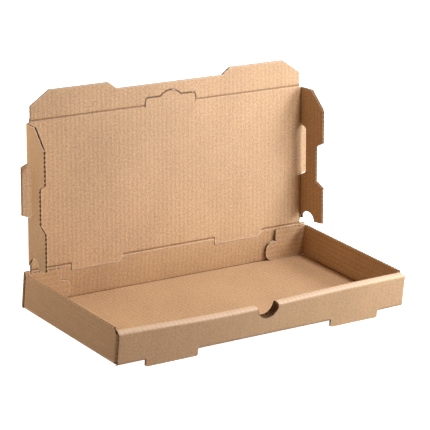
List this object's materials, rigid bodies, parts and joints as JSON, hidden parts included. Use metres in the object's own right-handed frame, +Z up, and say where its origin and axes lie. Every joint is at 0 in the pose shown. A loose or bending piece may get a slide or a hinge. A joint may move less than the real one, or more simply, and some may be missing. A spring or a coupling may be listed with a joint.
{
  "type": "flatbread box",
  "caption": "Shallow die-cut corrugated board box standing open: a folded tray with a rolled-over front wall and a hinged lid with tuck flaps.",
  "frame": {"origin": "middle of the tray's bottom panel, on its underside", "axes": "+Z up, out of the open tray; +X along the long side; the double front wall faces -Y and the lid is hinged at the +Y side"},
  "size_m": [0.4164, 0.2189, 0.2561],
  "materials": {
    "kraft_board": "uncoated brown kraft"
  },
  "bodies": {
    "tray": {"tray": "kraft_board"},
    "lid": {"lid_panel": "kraft_board"},
    "front_flap": {"lid_front_flap": "kraft_board"},
    "left_flap": {"lid_left_flap": "kraft_board"},
    "right_flap": {"lid_right_flap": "kraft_board"}
  },
  "joints": [
    {"name": "lid_hinge", "type": "hinge", "parent": "tray", "child": "lid", "pos_m": [0, 0.0945, 0.0442], "axis": [1, 0, 0], "range_deg": [-82.5, 97.5]},
    {"name": "front_flap_fold", "type": "hinge", "parent": "lid", "child": "front_flap", "pos_m": [0, 0.11702, 0.21522], "axis": [1, 0, 0], "range_deg": [0, 90]},
    {"name": "left_flap_fold", "type": "hinge", "parent": "lid", "child": "left_flap", "pos_m": [-0.1987, 0.0945, 0.0442], "axis": [0, 0.1305, 0.9914], "range_deg": [-86, 4]},
    {"name": "right_flap_fold", "type": "hinge", "parent": "lid", "child": "right_flap", "pos_m": [0.1987, 0.0945, 0.0442], "axis": [0, -0.1305, -0.9914], "range_deg": [-86, 4]}
  ]
}
